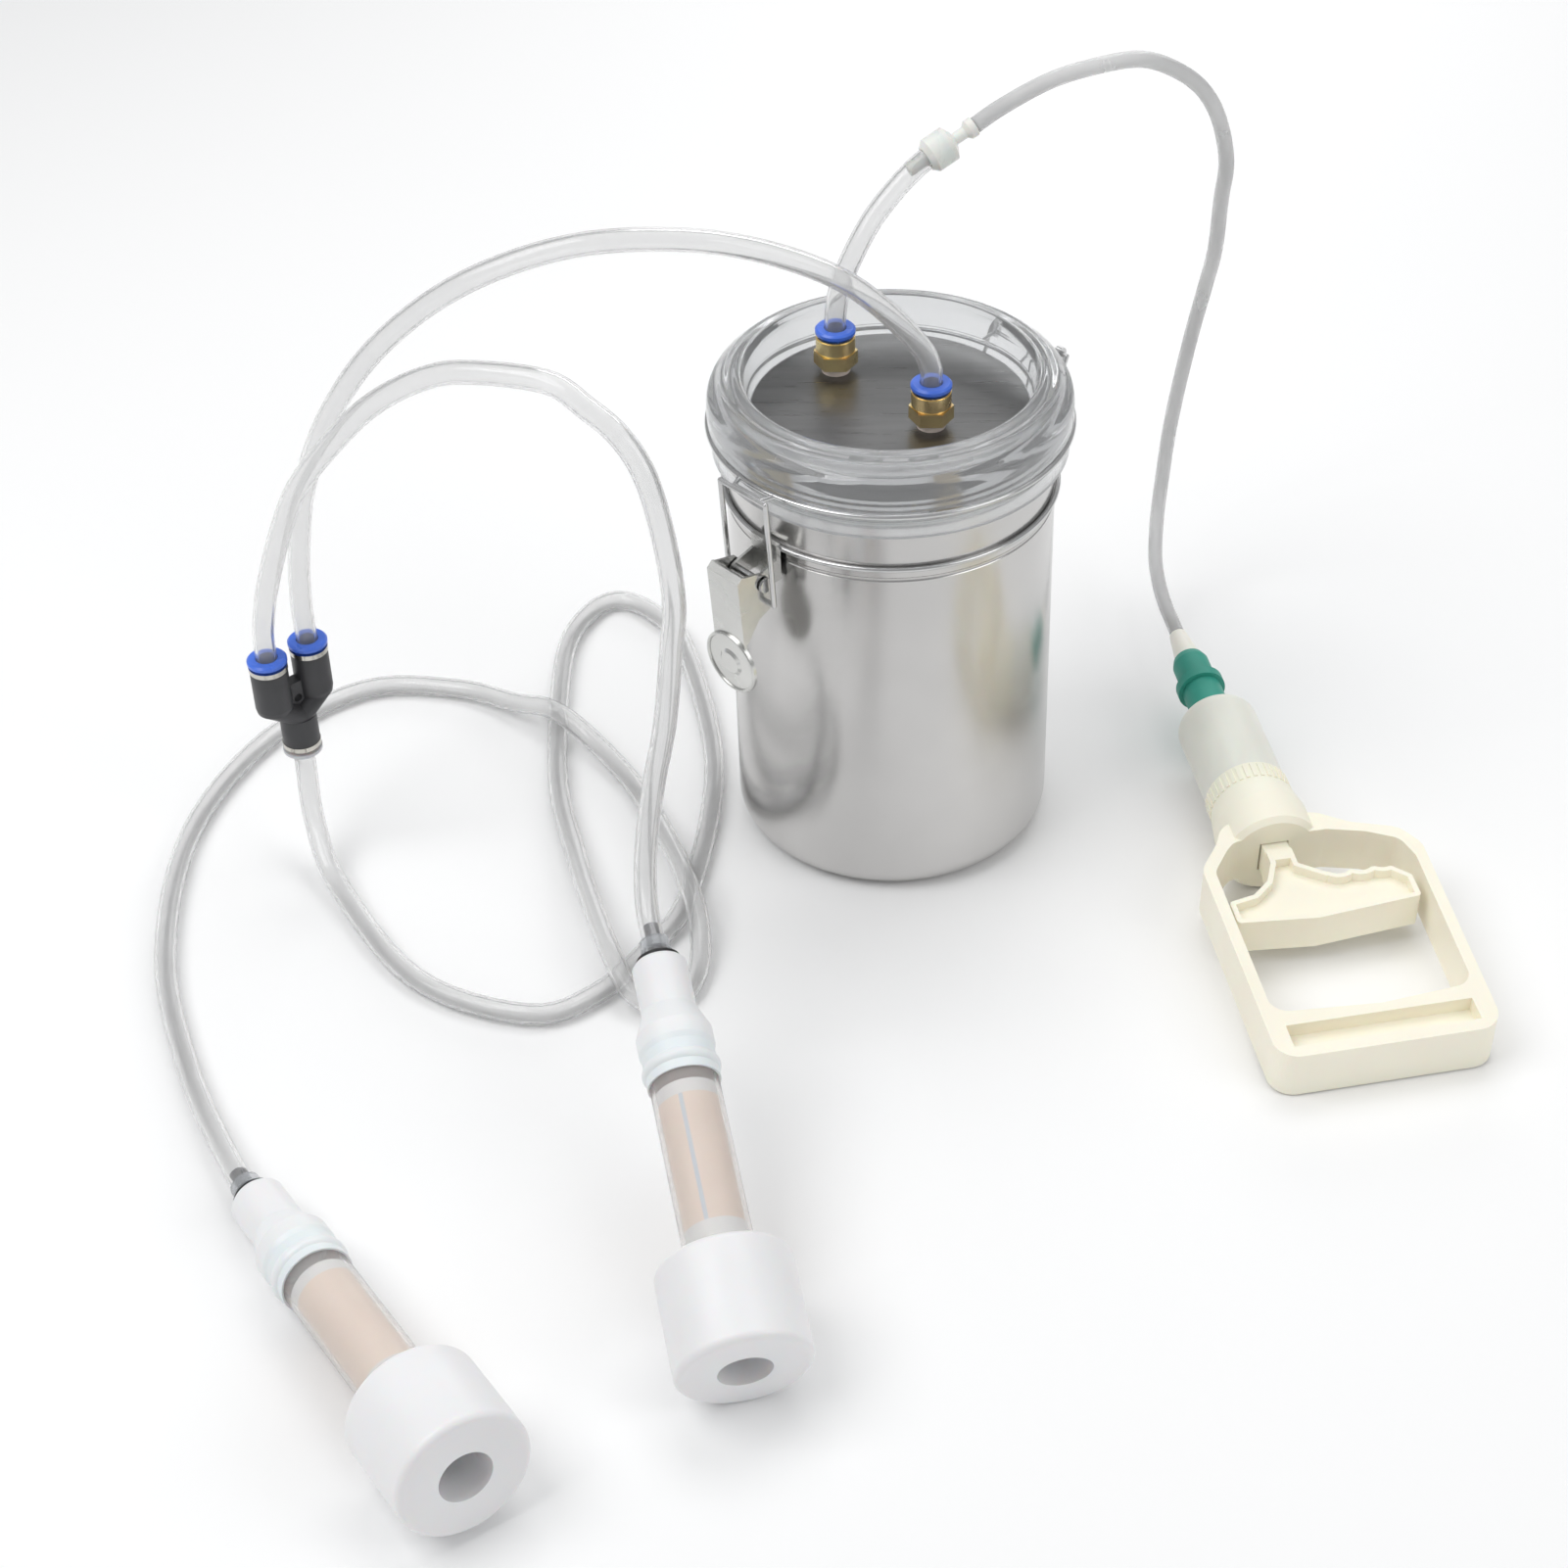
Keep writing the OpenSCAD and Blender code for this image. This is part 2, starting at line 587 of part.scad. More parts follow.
module cup_barb() {
    tail = -cup_len;
    color("dimgray") difference() {
        union() {
            translate([0, 0, tail - 14]) cylinder(r = 2.6, h = 14);
            translate([0, 0, tail - 1.4]) cylinder(r = 5.2, h = 1.4);
            translate([0, 0, tail]) cylinder(r = 3.2, h = 20);
        }
        translate([0, 0, tail - 15]) cylinder(r = 1.9, h = 40);
    }
}
module cup_washer() {
    color("black") tube(7.6, 3.22, -cup_len + 0.02, -cup_len + 1.98);
}
module cup_clamp() {
    color("whitesmoke", 0.7) tube(5.3, 4.05, -cup_len - 7.5, -cup_len - 3.5);
}
module front_cup() {
    cup_place(front_cup_at, front_cup_turn, front_cup_tilt) children();
}
module rear_cup() {
    cup_place(rear_cup_at, rear_cup_turn, rear_cup_tilt) children();
}

// Hand pump, drawn along x from the hose (minus) to the far side of the frame (plus)
module pump_place() {
    translate(pump_at) rotate([0, 0, pump_turn]) rotate([0, pump_tilt, 0]) children();
}
module on_axis() {
    rotate([0, 90, 0]) children();
}
module pump_adapter() {
    color("white") pump_place() on_axis() difference() {
        union() {
            translate([0, 0, -127]) cylinder(r1 = 3.6, r2 = 5.4, h = 16);
            translate([0, 0, -111]) cylinder(r = 5, h = 6);
            translate([0, 0, -137]) cylinder(r = 1.9, h = 11);
        }
        translate([0, 0, -138]) cylinder(r = 1.2, h = 40);
    }
}
module pump_coupling() {
    color("mediumseagreen") pump_place() on_axis() difference() {
        union() {
            translate([0, 0, -111]) cylinder(r1 = 6.4, r2 = 7.4, h = 3);
            translate([0, 0, -108]) cylinder(r = 7.4, h = 12);
            translate([0, 0, -96]) cylinder(r = 9.6, h = 4);
            translate([0, 0, -92]) cylinder(r = 7.9, h = 16.9);
        }
        translate([0, 0, -112]) cylinder(r = 5.02, h = 12);
        translate([0, 0, -101]) cylinder(r = 4.52, h = 40);
    }
}
module pump_barrel() {
    front = -75;
    shoulder = 6;
    color("ivory", 0.85) pump_place() on_axis() difference() {
        union() {
            translate([0, 0, front + shoulder]) cylinder(r = barrel_r, h = -31 - front - shoulder);
            translate([0, 0, front]) cylinder(r = barrel_r - shoulder, h = 20);
            translate([0, 0, front + shoulder]) rotate_extrude()
                translate([barrel_r - shoulder, 0]) circle(r = shoulder);
            translate([0, 0, -31]) cylinder(r = barrel_r - 1, h = 11);
            translate([0, 0, -99]) cylinder(r = 4.5, h = 25);
        }
        translate([0, 0, -71]) cylinder(r = barrel_r - 2, h = 60);
        translate([0, 0, -100]) cylinder(r = 2.2, h = 40);
    }
}
module pump_lock_ring() {
    rib_count = 36;
    color("cornsilk") pump_place() on_axis() difference() {
        union() {
            translate([0, 0, -30.9]) cylinder(r = barrel_r + 0.1, h = 8.8);
            for (i = [0:rib_count - 1]) rotate(360 * i / rib_count) translate([barrel_r - 0.2, -0.7, -30])
                cube([0.8, 1.4, 7]);
        }
        translate([0, 0, -40]) cylinder(r = barrel_r - 0.97, h = 40);
    }
}
module rounded(r) {
    offset(r = r, $fn = 40) offset(delta = -r) children();
}
module pump_frame() {
    strip = 4.5;
    left = -32;
    right = 53;
    far = frame_len;
    bar = 22;
    color("cornsilk") pump_place() {
        difference() {
            union() {
                translate([0, 0, -frame_h / 2]) linear_extrude(frame_h) difference() {
                    rounded(9) polygon([[-6, -18], [-6, 18], [2, 30], [8, right - 6], [18, right],
                        [far - 4, right - 2], [far, right - 6], [far, left + 6], [far - 3, left], [16, left],
                        [4, -23]]);
                    rounded(7) polygon([[4, -16], [4, 20], [8, 34], [14, right - strip - 3],
                        [24, right - strip], [far - bar, right - strip - 1.5], [far - bar + 3, 12],
                        [far - bar, left + strip], [18, left + strip], [8, -20]]);
                }
                on_axis() translate([0, 0, -22]) cylinder(r1 = 16.6, r2 = collar_r, h = 10);
                on_axis() translate([0, 0, -12]) cylinder(r = collar_r, h = 14);
                on_axis() translate([0, 0, 2]) cylinder(r1 = collar_r, r2 = collar_r - 2, h = 2);
            }
            on_axis() translate([0, 0, -23]) cylinder(r = barrel_r - 0.96, h = 20);
            translate([-10, -5.6, -6.6]) cube([30, 11.2, 13.2]);
            for (z = [-frame_h / 2 - 1, frame_h / 2 - 6]) translate([far - bar + 7, left + 7, z])
                cube([bar - 12, right - left - 16, 7]);
        }
    }
}
module pump_valve() {
    color("white") pump_place() on_axis() translate([0, 0, -70.9]) cylinder(r = 6, h = 1.6);
}
module grip_outline() {
    low = -26;
    high = 44.8;
    rounded(1.6) difference() {
        polygon([[8, -5], [15, -5], [24, -9], [30, -16], [32, low], [43, low], [46, 4], [42, high],
            [31, high], [24.5, 38], [23.5, 14], [17, 5], [8, 5]]);
        for (k = [0:2]) translate([19.6, 19 + 8.6 * k]) circle(r = 5.8, $fn = 40);
    }
}
module pump_grip() {
    pocket = 4;
    color("cornsilk") pump_place() difference() {
        union() {
            translate([0, 0, -7.5]) linear_extrude(15) grip_outline();
            translate([-2, -5, -6]) cube([14, 10, 12]);
            on_axis() translate([0, 0, -52]) cylinder(r = rod_r, h = 51);
        }
        for (from = [-7.6, 7.6 - pocket]) translate([0, 0, from]) linear_extrude(pocket) difference() {
            offset(delta = -2) grip_outline();
            translate([0, -20]) square([14, 40]);
        }
    }
}
module pump_piston() {
    color("white") pump_place() on_axis() difference() {
        union() {
            translate([0, 0, -62]) cylinder(r = 13.7, h = 2);
            translate([0, 0, -60]) cylinder(r = 12, h = 3);
            translate([0, 0, -57]) cylinder(r = 13.7, h = 2);
            translate([0, 0, -55]) cylinder(r = 6.5, h = 5);
        }
        translate([0, 0, -52]) cylinder(r = rod_r + 0.02, h = 10);
    }
}
module piston_seal() {
    color("black") pump_place() on_axis() tube(13.8, 12.02, -59.9, -57.1);
}

canister_shell();
neck_hoop();
hinge_wire();
latch_bracket();
lever_pin();
latch_lever();
bail_wire();
lid_shell();
lid_gasket();
lid_plate();
lid_hoop();
lid_eyes();
lid_hook();
port_body(vacuum_at);  // vacuum_port_body
port_body(milk_at);  // milk_port_body
port_tape();
port_nuts();
port_seals();
port_grippers();
translate([vacuum_at.x, vacuum_at.y, collet_z]) collet("royalblue");  // vacuum_port_collet
translate([milk_at.x, milk_at.y, collet_z]) collet("royalblue");  // milk_port_collet
color("gainsboro", 0.7) tube_along(vacuum_route, hose_d / 2, 10, 2);  // vacuum_hose
valve_body();
valve_cap();
valve_disc();
color("gainsboro", 0.7) tube_along(milk_route, hose_d / 2, 10, 2);  // milk_hose
y_body();
y_sleeves();
y_seals();
y_collet_left();
y_collet_right();
y_collet_bottom();
color("gainsboro", 0.7) tube_along(rear_route, hose_d / 2, 10, 2);  // rear_cup_hose
color("gainsboro", 0.7) tube_along(front_route, hose_d / 2, 8, 2);  // front_cup_hose
front_cup() cup_mouthpiece();  // front_cup_mouthpiece
front_cup() cup_shell();  // front_cup_shell
front_cup() cup_liner();  // front_cup_liner
front_cup() cup_sleeve();  // front_cup_sleeve
front_cup() cup_barb();  // front_cup_barb
front_cup() cup_washer();  // front_cup_washer
front_cup() cup_clamp();  // front_cup_clamp
rear_cup() cup_mouthpiece();  // rear_cup_mouthpiece
rear_cup() cup_shell();  // rear_cup_shell
rear_cup() cup_liner();  // rear_cup_liner
rear_cup() cup_sleeve();  // rear_cup_sleeve
rear_cup() cup_barb();  // rear_cup_barb
rear_cup() cup_washer();  // rear_cup_washer
rear_cup() cup_clamp();  // rear_cup_clamp
color("silver") tube_along(pump_route, pump_hose_d / 2, 8, 2);  // pump_hose
pump_adapter();
pump_coupling();
pump_barrel();
pump_lock_ring();
pump_frame();
pump_valve();
pump_grip();
pump_piston();
piston_seal();
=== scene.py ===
"""Small milking machine: its CAD frame, its hoses, its materials and a soft studio."""
import math

import bmesh
import bpy
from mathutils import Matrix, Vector


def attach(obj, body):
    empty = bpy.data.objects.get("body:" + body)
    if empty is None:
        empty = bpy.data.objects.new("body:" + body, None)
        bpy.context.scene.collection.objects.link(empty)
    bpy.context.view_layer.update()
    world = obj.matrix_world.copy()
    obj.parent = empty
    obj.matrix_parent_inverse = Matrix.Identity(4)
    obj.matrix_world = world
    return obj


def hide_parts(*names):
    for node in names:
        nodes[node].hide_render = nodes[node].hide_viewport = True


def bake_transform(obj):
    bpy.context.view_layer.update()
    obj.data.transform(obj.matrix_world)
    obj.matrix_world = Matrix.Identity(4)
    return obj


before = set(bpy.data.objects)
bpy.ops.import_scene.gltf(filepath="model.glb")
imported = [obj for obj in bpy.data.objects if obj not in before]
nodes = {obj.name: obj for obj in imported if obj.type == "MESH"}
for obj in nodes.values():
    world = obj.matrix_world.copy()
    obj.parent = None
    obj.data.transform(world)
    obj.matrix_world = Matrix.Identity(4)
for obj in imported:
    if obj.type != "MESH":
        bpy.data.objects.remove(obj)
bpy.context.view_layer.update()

# Camera and lights

camera = bpy.data.objects.new("camera", bpy.data.cameras.new("camera"))
camera.data.lens = 67.46
camera.data.sensor_width = 36
camera.data.shift_x = -0.08
camera.location = (0.0068, -0.905, 0.7354)
camera.rotation_euler = (math.radians(51.07), 0, 0)
bpy.context.collection.objects.link(camera)
bpy.context.scene.camera = camera


def softbox(name, place, aim, size, power):
    """A rectangular white lamp at a place, turned to a point."""
    lamp = bpy.data.objects.new(name, bpy.data.lights.new(name, "AREA"))
    lamp.data.shape = "RECTANGLE"
    lamp.data.size, lamp.data.size_y = size
    lamp.data.energy = power
    lamp.location = place
    lamp.rotation_euler = (Vector(aim) - Vector(place)).to_track_quat("-Z", "Y").to_euler()
    bpy.context.collection.objects.link(lamp)


softbox("key_light", (-0.75, -0.35, 1.25), (0, 0, 0.08), (0.9, 0.9), 8.5)
softbox("fill_light", (0.95, -0.55, 0.85), (0, 0, 0.1), (0.7, 0.7), 2.6)
softbox("top_light", (0.1, 0.45, 1.4), (0, 0, 0.1), (1.2, 0.7), 5.5)
softbox("rear_light", (0.2, 1.1, 0.5), (0, 0, 0.12), (0.8, 0.4), 1.8)
world = bpy.data.worlds.new("studio")
world.use_nodes = True
world.node_tree.nodes["Background"].inputs["Color"].default_value = (0.93, 0.94, 0.95, 1)
world.node_tree.nodes["Background"].inputs["Strength"].default_value = 0.47
bpy.context.scene.world = world
bpy.context.scene.view_settings.view_transform = "Standard"

# Materials


def linear(rgb):
    """Screen colours as the linear values that shaders take."""
    return tuple(c / 12.92 if c <= 0.04045 else ((c + 0.055) / 1.055) ** 2.4 for c in rgb)


# Places of a Mix node's colour sockets, which share their names with its number sockets
MIX_FACTOR, MIX_A, MIX_B, MIX_RESULT = 0, 6, 7, 2
COMPARE_WITHIN = 2


class Surface:
    """A Principled material whose details come from noise in the object's own coordinates."""

    def __init__(self, name, rgb, rough, **sockets):
        self.material = bpy.data.materials.new(name)
        self.material.use_nodes = True
        self.tree = self.material.node_tree
        self.shader = self.tree.nodes["Principled BSDF"]
        self.rgb = rgb
        self.shader.inputs["Base Color"].default_value = (*linear(rgb), 1)
        self.shader.inputs["Roughness"].default_value = rough
        for socket, value in sockets.items():
            self.shader.inputs[socket.replace("_", " ")].default_value = value

    def link(self, source, target):
        self.tree.links.new(source, target)

    def place(self):
        """The surface point, in the object's own coordinates."""
        return self.tree.nodes.new("ShaderNodeTexCoord").outputs["Object"]

    def vector(self, operation, a, b=None):
        """A vector node; its node is returned, since its outputs differ by operation."""
        node = self.tree.nodes.new("ShaderNodeVectorMath")
        node.operation = operation
        self.link(a, node.inputs[0])
        if b is not None:
            node.inputs[1].default_value = b
        return node

    def noise(self, scale, stretch=(1, 1, 1), detail=4):
        """Noise of so many cells a metre, closer along the stretched directions."""
        mapping = self.tree.nodes.new("ShaderNodeMapping")
        mapping.inputs["Scale"].default_value = stretch
        texture = self.tree.nodes.new("ShaderNodeTexNoise")
        texture.inputs["Scale"].default_value = scale
        texture.inputs["Detail"].default_value = detail
        self.link(self.place(), mapping.inputs["Vector"])
        self.link(mapping.outputs["Vector"], texture.inputs["Vector"])
        return texture.outputs["Fac"]

    def tint(self, scale, spread, stretch=(1, 1, 1)):
        """The base colour, lighter and darker by the spread."""
        ramp = self.tree.nodes.new("ShaderNodeValToRGB")
        for stop, factor in zip(ramp.color_ramp.elements, (1 - spread, 1 + spread)):
            stop.color = (*linear([min(1, c * factor) for c in self.rgb]), 1)
        ramp.color_ramp.elements[0].position = 0.3
        ramp.color_ramp.elements[1].position = 0.7
        self.link(self.noise(scale, stretch), ramp.inputs["Fac"])
        self.link(ramp.outputs["Color"], self.shader.inputs["Base Color"])
        return self

    def polish(self, scale, low, high, stretch=(1, 1, 1)):
        """Roughness that drifts between two values."""
        spread = self.tree.nodes.new("ShaderNodeMapRange")
        spread.inputs["From Min"].default_value = 0.3
        spread.inputs["From Max"].default_value = 0.7
        spread.inputs["To Min"].default_value = low
        spread.inputs["To Max"].default_value = high
        self.link(self.noise(scale, stretch), spread.inputs["Value"])
        self.link(spread.outputs["Result"], self.shader.inputs["Roughness"])
        return self

    def bump(self, scale, depth, stretch=(1, 1, 1), detail=4):
        """Small unevenness, with its depth in metres."""
        node = self.tree.nodes.new("ShaderNodeBump")
        node.inputs["Strength"].default_value = 0.6
        node.inputs["Distance"].default_value = depth
        self.link(self.noise(scale, stretch, detail), node.inputs["Height"])
        self.link(node.outputs["Normal"], self.shader.inputs["Normal"])
        return self

    def math_node(self, operation, a, b=0.0):
        """The result of a sum on two numbers, each a value or another node's output."""
        node = self.tree.nodes.new("ShaderNodeMath")
        node.operation = operation
        for socket, value in zip(node.inputs, (a, b)):
            if isinstance(value, bpy.types.NodeSocket):
                self.link(value, socket)
            else:
                socket.default_value = value
        return node.outputs["Value"]

    def distance(self, origin, direction):
        """How far each point lies from the origin, in metres along the direction."""
        offset = self.vector("SUBTRACT", self.place(), origin).outputs["Vector"]
        return self.vector("DOT_PRODUCT", offset, direction).outputs["Value"]

    def paint(self, mask, rgb):
        """Another colour where the mask is 1, over the base colour so far."""
        mix = self.tree.nodes.new("ShaderNodeMix")
        mix.data_type = "RGBA"
        base = self.shader.inputs["Base Color"]
        if base.is_linked:
            self.link(base.links[0].from_socket, mix.inputs[MIX_A])
        else:
            mix.inputs[MIX_A].default_value = base.default_value
        mix.inputs[MIX_B].default_value = (*linear(rgb), 1)
        self.link(mask, mix.inputs[MIX_FACTOR])
        self.link(mix.outputs[MIX_RESULT], base)
        return self

    def ridges(self, scale, depth, inner):
        """Fine concentric steps around the object's upright axis, outside the inner radius."""
        place = self.place()
        rings = self.tree.nodes.new("ShaderNodeTexWave")
        rings.wave_type = "RINGS"
        rings.rings_direction = "Z"
        rings.inputs["Scale"].default_value = scale
        rings.inputs["Distortion"].default_value = 0.2
        node = self.tree.nodes.new("ShaderNodeBump")
        node.inputs["Distance"].default_value = depth
        self.link(place, rings.inputs["Vector"])
        flat = self.vector("MULTIPLY", place, (1, 1, 0)).outputs["Vector"]
        radius = self.vector("LENGTH", flat).outputs["Value"]
        outside = self.math_node("GREATER_THAN", radius, inner)
        self.link(self.math_node("MULTIPLY", rings.outputs["Fac"], outside), node.inputs["Height"])
        self.link(node.outputs["Normal"], self.shader.inputs["Normal"])
        return self

    def on(self, *names):
        """Gives the material to these CAD nodes."""
        for name in names:
            mesh = nodes[name].data
            mesh.materials.clear()
            mesh.materials.append(self.material)
        return self.material


Surface("canister_steel", (0.79, 0.785, 0.78), 0.22, Metallic=1.0).tint(9, 0.045).polish(
    14, 0.15, 0.27, (1, 1, 2)).bump(26, 0.00006, (1, 1, 1.6), 2).on("canister_shell")
Surface("bright_wire", (0.8, 0.8, 0.8), 0.16, Metallic=1.0).tint(50, 0.03).polish(
    90, 0.12, 0.26).on("neck_hoop", "hinge_wire", "lever_pin", "bail_wire", "lid_hoop",
    "lid_eyes", "lid_hook")
Surface("latch_steel", (0.82, 0.82, 0.81), 0.25, Metallic=1.0).tint(30, 0.02).polish(
    60, 0.16, 0.3, (1, 1, 2)).bump(60, 0.00002, (1, 1, 1), 2).on("latch_bracket", "latch_lever")
Surface("plate_steel", (0.5, 0.5, 0.5), 0.3, Metallic=1.0).tint(10, 0.05, (1, 14, 1)).polish(
    40, 0.26, 0.4, (1, 20, 1)).bump(80, 0.00002, (1, 24, 1)).on("lid_plate")
Surface("grip_steel", (0.7, 0.7, 0.72), 0.25, Metallic=1.0).polish(80, 0.2, 0.35).on(
    "port_grippers")
Surface("brass", (0.99, 0.87, 0.65), 0.28, Metallic=1.0).tint(80, 0.07).polish(
    90, 0.2, 0.4).bump(160, 0.00003, (1, 1, 4)).on(
    "vacuum_port_body", "milk_port_body", "port_nuts")
Surface("nickel_ring", (0.78, 0.77, 0.74), 0.2, Metallic=1.0).polish(90, 0.14, 0.28).on(
    "y_sleeves")
Surface("barb_chrome", (0.42, 0.42, 0.43), 0.16, Metallic=1.0).tint(60, 0.05).polish(
    80, 0.1, 0.24).on("front_cup_barb", "rear_cup_barb")
Surface("acrylic", (0.985, 0.99, 0.995), 0.04, Transmission_Weight=0.8, IOR=1.4).polish(
    14, 0.015, 0.06).ridges(55, 0.0012, 0.04).on("lid_shell")
Surface("thread_tape", (0.86, 0.81, 0.77), 0.7).tint(120, 0.06, (1, 1, 5)).bump(
    300, 0.00025, (0.6, 0.6, 5)).on("port_tape")
Surface("gasket", (0.9, 0.9, 0.88), 0.5, Subsurface_Weight=0.1).bump(200, 0.00004).on("lid_gasket")
Surface("black_rubber", (0.1, 0.1, 0.1), 0.5).tint(60, 0.15).polish(70, 0.42, 0.62).bump(
    260, 0.00005).on("port_seals", "y_seals", "piston_seal", "front_cup_washer", "rear_cup_washer")
Surface("blue_collet", (0.27, 0.45, 0.88), 0.28, Coat_Weight=0.25).tint(70, 0.05).polish(
    60, 0.22, 0.36).bump(240, 0.00003).on(
    "vacuum_port_collet", "milk_port_collet", "y_collet_left", "y_collet_right")
Surface("grey_collet", (0.77, 0.78, 0.8), 0.3, Subsurface_Weight=0.1).tint(70, 0.03).bump(
    240, 0.00003).on("y_collet_bottom")
Surface("y_plastic", (0.235, 0.235, 0.245), 0.42).tint(50, 0.09).polish(70, 0.36, 0.5).bump(
    420, 0.00005).on("y_body")
Surface("valve_plastic", (0.9, 0.9, 0.88), 0.25, Subsurface_Weight=0.25,
        Subsurface_Scale=0.004).tint(60, 0.03).polish(70, 0.2, 0.34).on("valve_body", "valve_cap")
Surface("valve_rubber", (0.86, 0.86, 0.84), 0.5).tint(80, 0.04).bump(300, 0.00003).on(
    "valve_disc", "pump_valve")
Surface("cup_silicone", (0.935, 0.935, 0.94), 0.36, Subsurface_Weight=0.18,
        Subsurface_Scale=0.006).tint(22, 0.012).polish(60, 0.32, 0.46).bump(240, 0.00005).on(
    "front_cup_mouthpiece", "rear_cup_mouthpiece", "front_cup_sleeve", "rear_cup_sleeve")
Surface("cup_tube", (0.985, 0.98, 0.975), 0.2, Transmission_Weight=0.8, IOR=1.1).polish(
    50, 0.12, 0.24).on(
    "front_cup_shell", "rear_cup_shell")

# Where the peach part of a liner begins and ends, in metres from the cup's mouth
LINER_BACK, LINER_FRONT = -0.097, -0.0496
PEACH = (0.985, 0.885, 0.82)
LINER_WHITE = (0.95, 0.95, 0.955)
SLIT_GREY = (0.8, 0.84, 0.9)
SLIT_HALF_WIDTH = 0.0007


def cup_liner(name, mouth, turn, tilt, slit):
    """Peach rubber between two white ends; slit is the turn of a thin grey line, or 0 for none."""
    turn, tilt = math.radians(turn), math.radians(tilt)
    along = Vector((math.cos(tilt) * math.cos(turn), math.cos(tilt) * math.sin(turn),
                    -math.sin(tilt)))
    mouth = Vector(mouth) / 1000
    liner = Surface(name, PEACH, 0.45, Subsurface_Weight=0.1, Subsurface_Scale=0.004)
    liner.tint(40, 0.03)
    depth = liner.distance(mouth, along)
    middle = liner.math_node("COMPARE", depth, (LINER_BACK + LINER_FRONT) / 2)
    middle.node.inputs[COMPARE_WITHIN].default_value = (LINER_FRONT - LINER_BACK) / 2
    if slit:
        across = along.cross(Vector((0, 0, 1))).normalized()
        up = across.cross(along)
        aside = liner.distance(mouth, across * math.cos(slit) + up * math.sin(slit))
        upward = liner.distance(mouth, up * math.cos(slit) - across * math.sin(slit))
        line = liner.math_node("LESS_THAN", liner.math_node("ABSOLUTE", aside), SLIT_HALF_WIDTH)
        top = liner.math_node("GREATER_THAN", upward, 0)
        liner.paint(liner.math_node("MULTIPLY", line, top), SLIT_GREY)
    liner.paint(liner.math_node("SUBTRACT", 1.0, middle), LINER_WHITE)
    liner.bump(220, 0.00004).on(name)


cup_liner("front_cup_liner", (-125, -355, 26.15), -55.7, -6, 0)
cup_liner("rear_cup_liner", (-44, -311, 21.4), -76.68, 14.06, -0.3)
Surface("clear_clip", (0.93, 0.94, 0.95), 0.12, Transmission_Weight=0.8, IOR=1.4).polish(
    60, 0.08, 0.2).on(
    "front_cup_clamp", "rear_cup_clamp")
Surface("white_plastic", (0.96, 0.95, 0.91), 0.4, Subsurface_Weight=0.1,
        Subsurface_Scale=0.004).tint(30, 0.02).bump(240, 0.00004).on("pump_adapter", "pump_piston")
Surface("green_rubber", (0.2, 0.6, 0.53), 0.5).tint(40, 0.06).polish(60, 0.42, 0.6).bump(
    200, 0.00006).on("pump_coupling")
Surface("barrel_plastic", (0.95, 0.935, 0.895), 0.34, Subsurface_Weight=0.15,
        Subsurface_Scale=0.01).tint(16, 0.03, (2, 1, 1)).polish(40, 0.28, 0.44).bump(
    160, 0.00005).on("pump_barrel")
Surface("cream_plastic", (0.985, 0.96, 0.89), 0.42, Subsurface_Weight=0.15,
        Subsurface_Scale=0.005).tint(14, 0.022).polish(50, 0.36, 0.52).bump(260, 0.00006).on(
    "pump_lock_ring", "pump_frame", "pump_grip")
clear_hose = Surface("clear_hose", (0.985, 0.985, 0.985), 0.06, Transmission_Weight=0.88,
                     IOR=1.34).polish(40, 0.04, 0.12).material
pump_hose = Surface("soft_hose", (0.93, 0.93, 0.93), 0.2, Transmission_Weight=0.6, IOR=1.3).tint(
    24, 0.03).polish(50, 0.16, 0.3).material

# Hoses, as routes in millimetres from the fitting outwards

MILK = [
    (14.5, -13.5, 186), (14.5, -13.5, 192), (14.5, -13.5, 198), (14.2, -13.6, 203), (10.5, -14.8, 212),
    (-3, -21, 231), (-19, -28, 247), (-42, -35, 260), (-67, -42, 268), (-98, -47, 269.5), (-126, -48, 262),
    (-152, -46, 247), (-176.5, -41, 223), (-195, -35, 194), (-207.5, -29, 163), (-214, -25, 133),
    (-217, -22, 108), (-217, -22, 90), (-217, -22, 74),
]
REAR = [
    (-230, -34, 74), (-230, -34, 84), (-230, -34, 94), (-229.6, -34.7, 101), (-228, -37, 110),
    (-223.5, -41, 128), (-214, -47, 156), (-203, -54, 180.5), (-185.5, -62, 205), (-170, -69, 222.5),
    (-151.5, -77, 236.5), (-135, -84, 243), (-109, -95, 246), (-96, -102, 240.5), (-85.5, -107, 233),
    (-77.5, -112, 220.5), (-72.5, -116, 199), (-70.5, -117, 175), (-72.5, -117, 155), (-76, -118.5, 126),
    (-80.5, -120.5, 104), (-83.5, -127, 86), (-84.5, -135, 73), (-83.5, -144.5, 65),
    (-81.2, -154.3, 61.7), (-79.4, -161.8, 59.8),
]
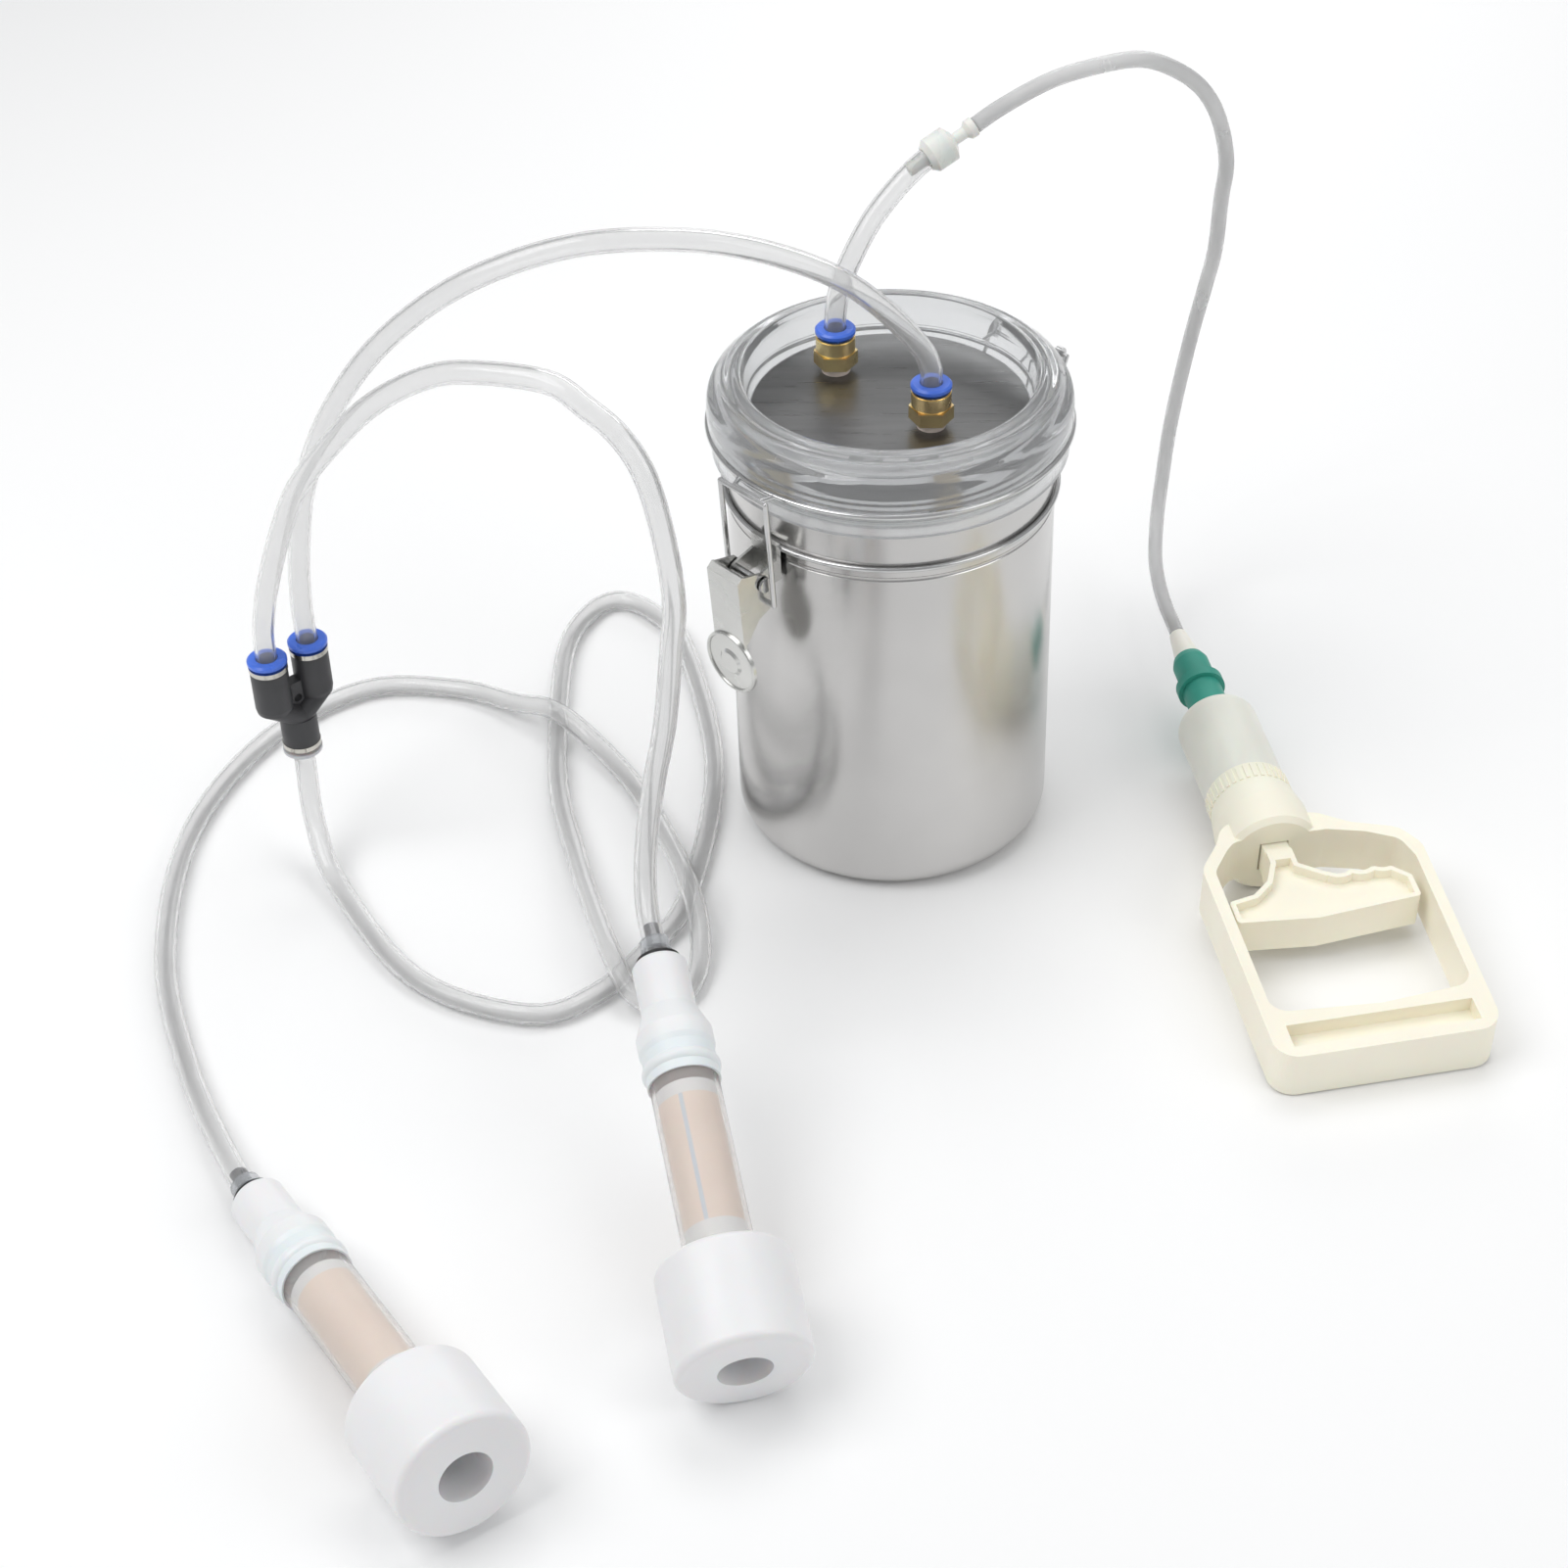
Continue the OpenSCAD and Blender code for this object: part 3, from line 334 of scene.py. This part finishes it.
FRONT = [
    (-223.5, -28, 55.5), (-223.5, -28, 49), (-223.5, -28, 42.5), (-223.3, -29, 36), (-220.5, -40, 18),
    (-209, -64, 6), (-174, -113, 4.1), (-131, -132, 4.1), (-107, -121, 4.1), (-90, -97, 4.1),
    (-76.5, -65, 4.1), (-71, 12, 4.1), (-87, 90, 4.1), (-101, 115, 4.1), (-117, 126, 4.1),
    (-130, 116, 4.1), (-137.5, 84, 4.1), (-133, 6, 4.3), (-121, -46, 6.5), (-109, -88, 10.5),
    (-101, -112, 12.6), (-94, -125, 9), (-84, -128.5, 5), (-75, -121, 4.1), (-70.5, -106, 4.4),
    (-71.5, -87, 9), (-77.5, -66, 12.6), (-87, -36, 7.5), (-103, 1, 4.2), (-123, 27, 8), (-138, 38, 12.6),
    (-155, 50, 7), (-180, 63, 4.1), (-218, 62.5, 4.1), (-253, 28, 4.1), (-272, -30, 4.1),
    (-268, -101, 4.1), (-247, -163, 4.3), (-222, -212.8, 8), (-213.5, -225.2, 9.6),
]
VACUUM = [
    (-20, 24.5, 186), (-20, 24.5, 192), (-20, 24.5, 198), (-19.7, 24.8, 203), (-18.3, 26.2, 211),
    (-14, 29, 222), (-7, 34, 234), (1, 38.5, 243.5), (8, 42, 250), (13, 44.5, 253.5),
]
PUMP = [
    (29.92, 52.96, 261.96), (40, 58, 267), (57, 62, 275), (75, 66, 279), (90, 72.5, 278), (103, 81, 270),
    (114, 90, 258), (122, 100, 241), (127, 110, 219), (127, 118, 199), (127, 126, 173), (125, 132, 154),
    (122, 139, 130), (119, 144, 105), (116, 147, 78), (114, 145, 56), (112, 137, 40),
    (110.5, 120, 31.5), (111, 102, 29.6), (112.8, 87, 28.8), (114.7, 77.5, 28.2), (116.5, 68.8, 27.6),
]


def smooth(route, steps):
    """Points in metres on one smooth curve through the route."""
    p = [Vector(v) / 1000 for v in route]
    out = []
    for i in range(len(p) - 1):
        a, b, c, d = p[max(i - 1, 0)], p[i], p[i + 1], p[min(i + 2, len(p) - 1)]
        for k in range(steps):
            t = k / steps
            out.append(0.5 * (2 * b + (c - a) * t + (2 * a - 5 * b + 4 * c - d) * t * t
                              + (3 * b - a - 3 * c + d) * t * t * t))
    return out + [p[-1]]


def hose(name, route, outer, inner, material, steps=6, sides=24):
    """A hollow tube along the route, with closed ends, and the length of its centreline."""
    path = smooth(route, steps)
    mesh = bmesh.new()
    walls = []
    normal = None
    for i, point in enumerate(path):
        along = (path[min(i + 1, len(path) - 1)] - path[max(i - 1, 0)]).normalized()
        normal = normal or (Vector((1, 0, 0)) if abs(along.z) > 0.7 else Vector((0, 0, 1)))
        normal = (normal - along * normal.dot(along)).normalized()
        side = along.cross(normal)
        turn = [(math.cos(2 * math.pi * s / sides), math.sin(2 * math.pi * s / sides))
                for s in range(sides)]
        walls.append([[mesh.verts.new(point + r * (normal * c + side * q)) for c, q in turn]
                      for r in (outer, inner)])
    for a, b in zip(walls, walls[1:]):
        for s in range(sides):
            n = (s + 1) % sides
            mesh.faces.new((a[0][s], a[0][n], b[0][n], b[0][s]))
            mesh.faces.new((a[1][n], a[1][s], b[1][s], b[1][n]))
    for end, flip in ((walls[0], False), (walls[-1], True)):
        for s in range(sides):
            n = (s + 1) % sides
            ring = (end[0][n], end[0][s], end[1][s], end[1][n])
            mesh.faces.new(ring[::-1] if flip else ring)
    for face in mesh.faces:
        face.smooth = True
    data = bpy.data.meshes.new(name)
    mesh.to_mesh(data)
    mesh.free()
    data.materials.append(material)
    obj = bpy.data.objects.new(name, data)
    bpy.context.collection.objects.link(obj)
    length = sum((b - a).length for a, b in zip(path, path[1:]))
    return obj, path, length


def lay_hose(name, node, route, diameter, wall, material, slot, stiffness, lay):
    """A hose in place of its CAD node, which it hides."""
    obj, path, length = hose(name, route, diameter / 2, diameter / 2 - wall, material)
    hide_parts(node)
    return obj


# Outer diameter, wall, material, slot, stiffness and lay of the two kinds of hose
CLEAR = (0.008, 0.0011, clear_hose, "clear_hose", "medium", "loose")
SOFT = (0.006, 0.0009, pump_hose, "pump_silicone", "limp", "loose")
rear = lay_hose("rear_hose", "rear_cup_hose", REAR, *CLEAR)
front = lay_hose("front_hose", "front_cup_hose", FRONT, *CLEAR)
milk = lay_hose("milk_line", "milk_hose", MILK, *CLEAR)
vacuum = lay_hose("vacuum_line", "vacuum_hose", VACUUM, *CLEAR)
pump = lay_hose("pump_line", "pump_hose", PUMP, *SOFT)
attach(rear, "base")
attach(front, "base")
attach(vacuum, "lid")
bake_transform(milk)
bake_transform(pump)

# Floor

floor = bpy.data.objects.new("floor", bpy.data.meshes.new("floor"))
FLOOR_CORNERS = ((-4, -3, 0), (4, -3, 0), (4, 6, 0), (-4, 6, 0))
sheet = bmesh.new()
sheet.faces.new([sheet.verts.new(corner) for corner in FLOOR_CORNERS])
sheet.to_mesh(floor.data)
sheet.free()
floor_paint = Surface("pale_floor", (0.985, 0.985, 0.985), 0.7).bump(90, 0.00005)
floor.data.materials.append(floor_paint.material)
bpy.context.collection.objects.link(floor)
